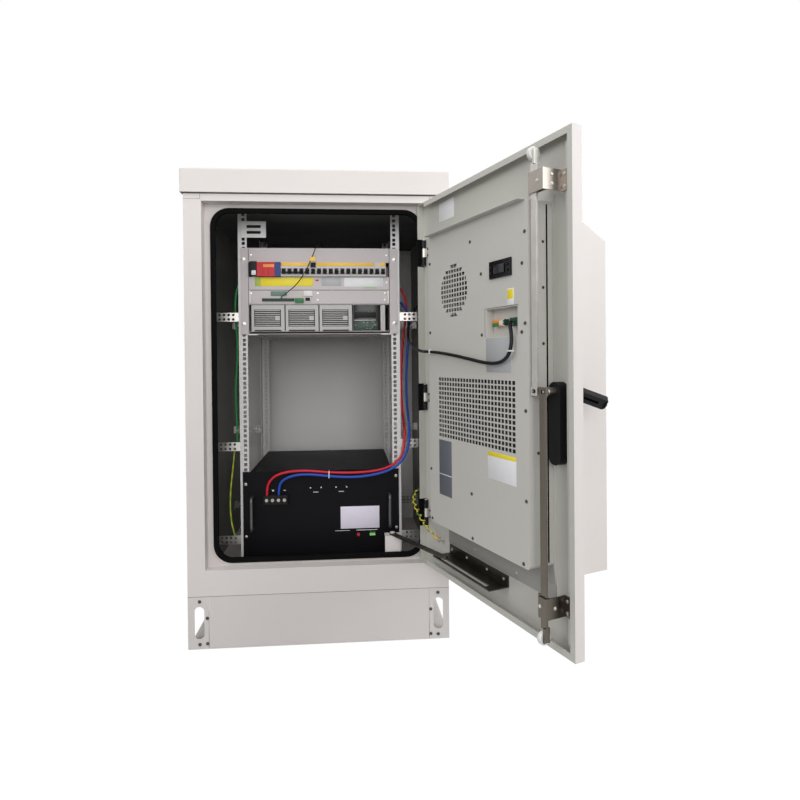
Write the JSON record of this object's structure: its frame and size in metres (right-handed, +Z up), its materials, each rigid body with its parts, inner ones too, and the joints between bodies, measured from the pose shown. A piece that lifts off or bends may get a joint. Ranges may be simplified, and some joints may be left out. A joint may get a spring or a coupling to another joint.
{
  "type": "outdoor equipment cabinet",
  "caption": "Outdoor equipment cabinet on a slotted plinth, with a hinged air-conditioned door on a stay, a roller-rod lock, and a rack holding a power unit and a battery unit",
  "frame": {"origin": "on the ground plane, at the middle of the plinth's anchor holes", "axes": "+X to the right seen from the front, +Y into the cabinet, +Z up"},
  "size_m": [1.0378, 1.3469, 1.366],
  "materials": {
    "cabinet_paint": "fine textured light grey powder coat",
    "plinth_paint": "fine textured light grey powder coat",
    "rack_paint": "satin pale grey paint",
    "module_paint": "satin blue-grey paint",
    "battery_paint": "satin black powder coat",
    "zinc_steel": "bright zinc plating",
    "black_metal": "satin black powder coat",
    "lining_foam": "matt charcoal insulation foam",
    "seal_rubber": "matt black sealing rubber",
    "black_plastic": "matt black plastic",
    "breaker_plastic": "pale grey moulded plastic",
    "arrester_plastic": "red moulded plastic",
    "roller_plastic": "white nylon",
    "connector_green": "green connector plastic",
    "coil_aluminium": "finned aluminium",
    "button_red": "red glossy plastic",
    "rocker_green": "green glossy plastic",
    "green_sheath": "green cable sheath",
    "yellow_sheath": "yellow and green cable sheath",
    "red_sheath": "red cable sheath",
    "blue_sheath": "blue cable sheath"
  },
  "bodies": {
    "cabinet": {"plinth_frame": "plinth_paint", "plinth_panels": "plinth_paint", "floor_plate": "cabinet_paint", "front_frame": "cabinet_paint", "left_wall": "cabinet_paint", "right_wall": "cabinet_paint", "rear_wall": "cabinet_paint", "top_plate": "cabinet_paint", "roof_cover": "cabinet_paint", "wall_linings": "lining_foam", "door_gasket": "seal_rubber", "front_posts": "rack_paint", "rear_posts": "rack_paint", "rack_brackets": "zinc_steel", "slotted_plate": "rack_paint", "power_case": "rack_paint", "power_fascia": "rack_paint", "breaker_bank": "breaker_plastic", "surge_arresters": "arrester_plastic", "rectifier_modules": "module_paint", "monitor_module": "module_paint", "battery_case": "battery_paint", "battery_handles": "zinc_steel", "battery_terminals": "black_plastic", "hinge_frame_leaves": "black_metal", "hinge_pins": "zinc_steel", "stay_bracket": "rack_paint", "green_earth_wire": "green_sheath", "yellow_earth_wire": "yellow_sheath", "red_cable": "red_sheath", "blue_cable": "blue_sheath", "sensor_wire": "black_plastic"},
    "door": {"door_pan": "cabinet_paint", "hinge_door_leaves": "zinc_steel", "stay_track": "zinc_steel", "ac_housing": "cabinet_paint", "ac_cover": "cabinet_paint", "ac_coils": "coil_aluminium", "ac_compressor": "black_metal", "ac_display": "black_plastic", "ac_terminals": "connector_green", "handle_housing": "black_plastic", "rod_guides": "zinc_steel", "ac_cable": "black_plastic", "door_earth_lead": "yellow_sheath"},
    "stay": {"stay_arm": "zinc_steel"},
    "spindle": {"handle_spindle": "zinc_steel"},
    "lever": {"handle_lever": "black_metal"},
    "upper_rod": {"upper_rod": "zinc_steel"},
    "lower_rod": {"lower_rod": "zinc_steel"},
    "upper_roller": {"upper_roller": "roller_plastic"},
    "lower_roller": {"lower_roller": "roller_plastic"},
    "inner_fan": {"ac_inner_fan": "black_plastic"},
    "outer_fan": {"ac_outer_fan": "black_plastic"},
    "button": {"battery_button": "button_red"},
    "rocker": {"battery_rocker": "rocker_green"},
    "main_toggle": {"main_toggle": "black_plastic"},
    "toggle_5": {"breaker_toggle_5": "black_plastic"},
    "toggle_6": {"breaker_toggle_6": "black_plastic"},
    "toggle_18": {"breaker_toggle_18": "black_plastic"}
  },
  "joints": [
    {"name": "door_hinge", "type": "hinge", "parent": "cabinet", "child": "door", "pos_m": [0.311, -0.367, 0.709], "axis": [0, 0, 1], "range_deg": [-110.7, 0], "deforming": ["ac_cable", "door_earth_lead"]},
    {"name": "stay_swing", "type": "hinge", "parent": "cabinet", "child": "stay", "pos_m": [0.214, -0.32, 0.296], "axis": [0, 0, 1], "range_deg": [-116.9, 0]},
    {"name": "handle_turn", "type": "hinge", "parent": "door", "child": "spindle", "pos_m": [0.5146, -0.90582, 0.754], "axis": [-0.9354, -0.3535, 0], "range_deg": [-45, 45]},
    {"name": "lever_lift", "type": "hinge", "parent": "spindle", "child": "lever", "pos_m": [0.53705, -0.89733, 0.754], "axis": [0.2499, -0.6615, 0.7071], "range_deg": [-60, 20]},
    {"name": "upper_rod_slide", "type": "slide", "parent": "door", "child": "upper_rod", "axis": [0, 0, 1], "range_m": [-0.0117, 0.0117]},
    {"name": "lower_rod_slide", "type": "slide", "parent": "door", "child": "lower_rod", "axis": [0, 0, 1], "range_m": [-0.0117, 0.0117]},
    {"name": "upper_roller_spin", "type": "hinge", "parent": "upper_rod", "child": "upper_roller", "pos_m": [0.46023, -0.91214, 1.229], "axis": [0.3535, -0.9354, 0], "continuous": true},
    {"name": "lower_roller_spin", "type": "hinge", "parent": "lower_rod", "child": "lower_roller", "pos_m": [0.468, -0.93272, 0.267], "axis": [0.3535, -0.9354, 0], "continuous": true},
    {"name": "inner_fan_spin", "type": "hinge", "parent": "door", "child": "inner_fan", "pos_m": [0.37016, -0.62259, 0.99], "axis": [-0.9354, -0.3535, 0], "continuous": true},
    {"name": "outer_fan_spin", "type": "hinge", "parent": "door", "child": "outer_fan", "pos_m": [0.54254, -0.61197, 0.86], "axis": [-0.9354, -0.3535, 0], "continuous": true},
    {"name": "button_press", "type": "slide", "parent": "cabinet", "child": "button", "axis": [0, 1, 0], "range_m": [0, 0.003], "stiffness_N_per_m": 500, "springref_m": -0.002},
    {"name": "rocker_tilt", "type": "hinge", "parent": "cabinet", "child": "rocker", "pos_m": [0.157, -0.237, 0.2755], "axis": [1, 0, 0], "range_deg": [-12, 0]},
    {"name": "main_toggle_throw", "type": "hinge", "parent": "cabinet", "child": "main_toggle", "pos_m": [-0.082, -0.2495, 1.0949], "axis": [1, 0, 0], "range_deg": [-45, 0]},
    {"name": "toggle_5_throw", "type": "hinge", "parent": "cabinet", "child": "toggle_5", "pos_m": [-0.037, -0.2495, 1.0949], "axis": [1, 0, 0], "range_deg": [-45, 0]},
    {"name": "toggle_6_throw", "type": "hinge", "parent": "cabinet", "child": "toggle_6", "pos_m": [-0.019, -0.2495, 1.0949], "axis": [1, 0, 0], "range_deg": [-45, 0]},
    {"name": "toggle_18_throw", "type": "hinge", "parent": "cabinet", "child": "toggle_18", "pos_m": [0.197, -0.2495, 1.0949], "axis": [1, 0, 0], "range_deg": [-45, 0]}
  ],
  "couplings": [
    {"joint": "stay_swing", "follows": "door_hinge", "ratio": 1.0558},
    {"joint": "upper_rod_slide", "follows": "handle_turn", "m_per_rad": -0.014855},
    {"joint": "lower_rod_slide", "follows": "handle_turn", "m_per_rad": 0.014855}
  ]
}
